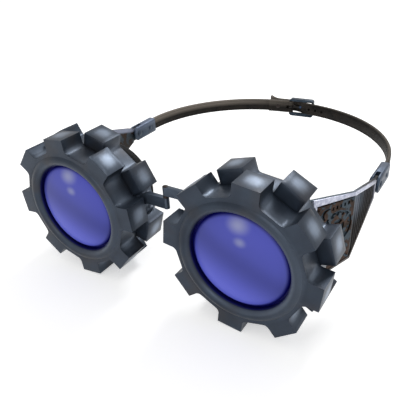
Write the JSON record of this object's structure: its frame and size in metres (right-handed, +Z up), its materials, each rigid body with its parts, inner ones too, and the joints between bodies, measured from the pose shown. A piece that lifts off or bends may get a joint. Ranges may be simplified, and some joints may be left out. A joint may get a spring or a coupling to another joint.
{
  "type": "steampunk goggles",
  "caption": "Round twin-lens goggles with two stacked toothed rings per cup, bent side plates with a hinged, buckled leather strap, and domed violet lenses.",
  "frame": {"origin": "on the resting plane under the lowest teeth, below the middle of the model's box", "axes": "+X towards the wearer's left, +Y from the lenses back towards the buckle, +Z up"},
  "size_m": [0.143, 0.1586, 0.0639],
  "materials": {
    "gear_steel": "satin, softly lit",
    "barrel_steel": "satin",
    "lens_glass": "polished, blue-violet tint",
    "gasket_rubber": "matte",
    "cushion_leather": "soft matte",
    "plate_steel": "brushed, patchy",
    "trim_silver": "mottled polish",
    "fret_copper": "aged copper brown",
    "rivet_steel": "polished heads",
    "strap_leather": "worn, dark taupe",
    "buckle_steel": "blued"
  },
  "bodies": {
    "cups": {"rear_gear_left": "gear_steel", "rear_gear_right": "gear_steel", "eye_barrel_left": "barrel_steel", "eye_barrel_right": "barrel_steel", "lens_left": "lens_glass", "lens_right": "lens_glass", "lens_gasket_left": "gasket_rubber", "lens_gasket_right": "gasket_rubber", "eye_cushion_left": "cushion_leather", "eye_cushion_right": "cushion_leather", "temple_plate_left": "plate_steel", "temple_plate_right": "plate_steel", "temple_trim_left": "trim_silver", "temple_trim_right": "trim_silver", "temple_fret_left": "fret_copper", "temple_fret_right": "fret_copper", "fret_rivets_left": "rivet_steel", "fret_rivets_right": "rivet_steel", "plate_screws_left": "rivet_steel", "plate_screws_right": "rivet_steel", "pivot_rivet_left": "rivet_steel", "pivot_rivet_right": "rivet_steel", "bridge_arm_left": "plate_steel", "bridge_arm_right": "plate_steel", "bridge_pin": "buckle_steel", "bridge_screws": "rivet_steel"},
    "ring_left": {"front_gear_left": "gear_steel"},
    "ring_right": {"front_gear_right": "gear_steel"},
    "strap": {"ferrule_left": "buckle_steel", "ferrule_right": "buckle_steel", "ferrule_rivet_left": "rivet_steel", "ferrule_rivet_right": "rivet_steel", "strap_left": "strap_leather", "strap_right": "strap_leather", "strap_rivet": "rivet_steel", "buckle_frame": "buckle_steel"},
    "tongue": {"buckle_tongue": "buckle_steel"}
  },
  "joints": [
    {"name": "ring_left_turn", "type": "hinge", "parent": "cups", "child": "ring_left", "pos_m": [0.0395, -0.07329, 0.03197], "axis": [0, 1, 0], "continuous": true},
    {"name": "ring_right_turn", "type": "hinge", "parent": "cups", "child": "ring_right", "pos_m": [-0.0395, -0.07329, 0.03197], "axis": [0, 1, 0], "continuous": true},
    {"name": "strap_swing", "type": "hinge", "parent": "cups", "child": "strap", "pos_m": [0, -0.00179, 0.03407], "axis": [1, 0, 0], "range_deg": [-70, 90]},
    {"name": "tongue_lift", "type": "hinge", "parent": "strap", "child": "tongue", "pos_m": [-0.0063, 0.07324, 0.03407], "axis": [0, 0, 1], "range_deg": [0, 10]}
  ]
}
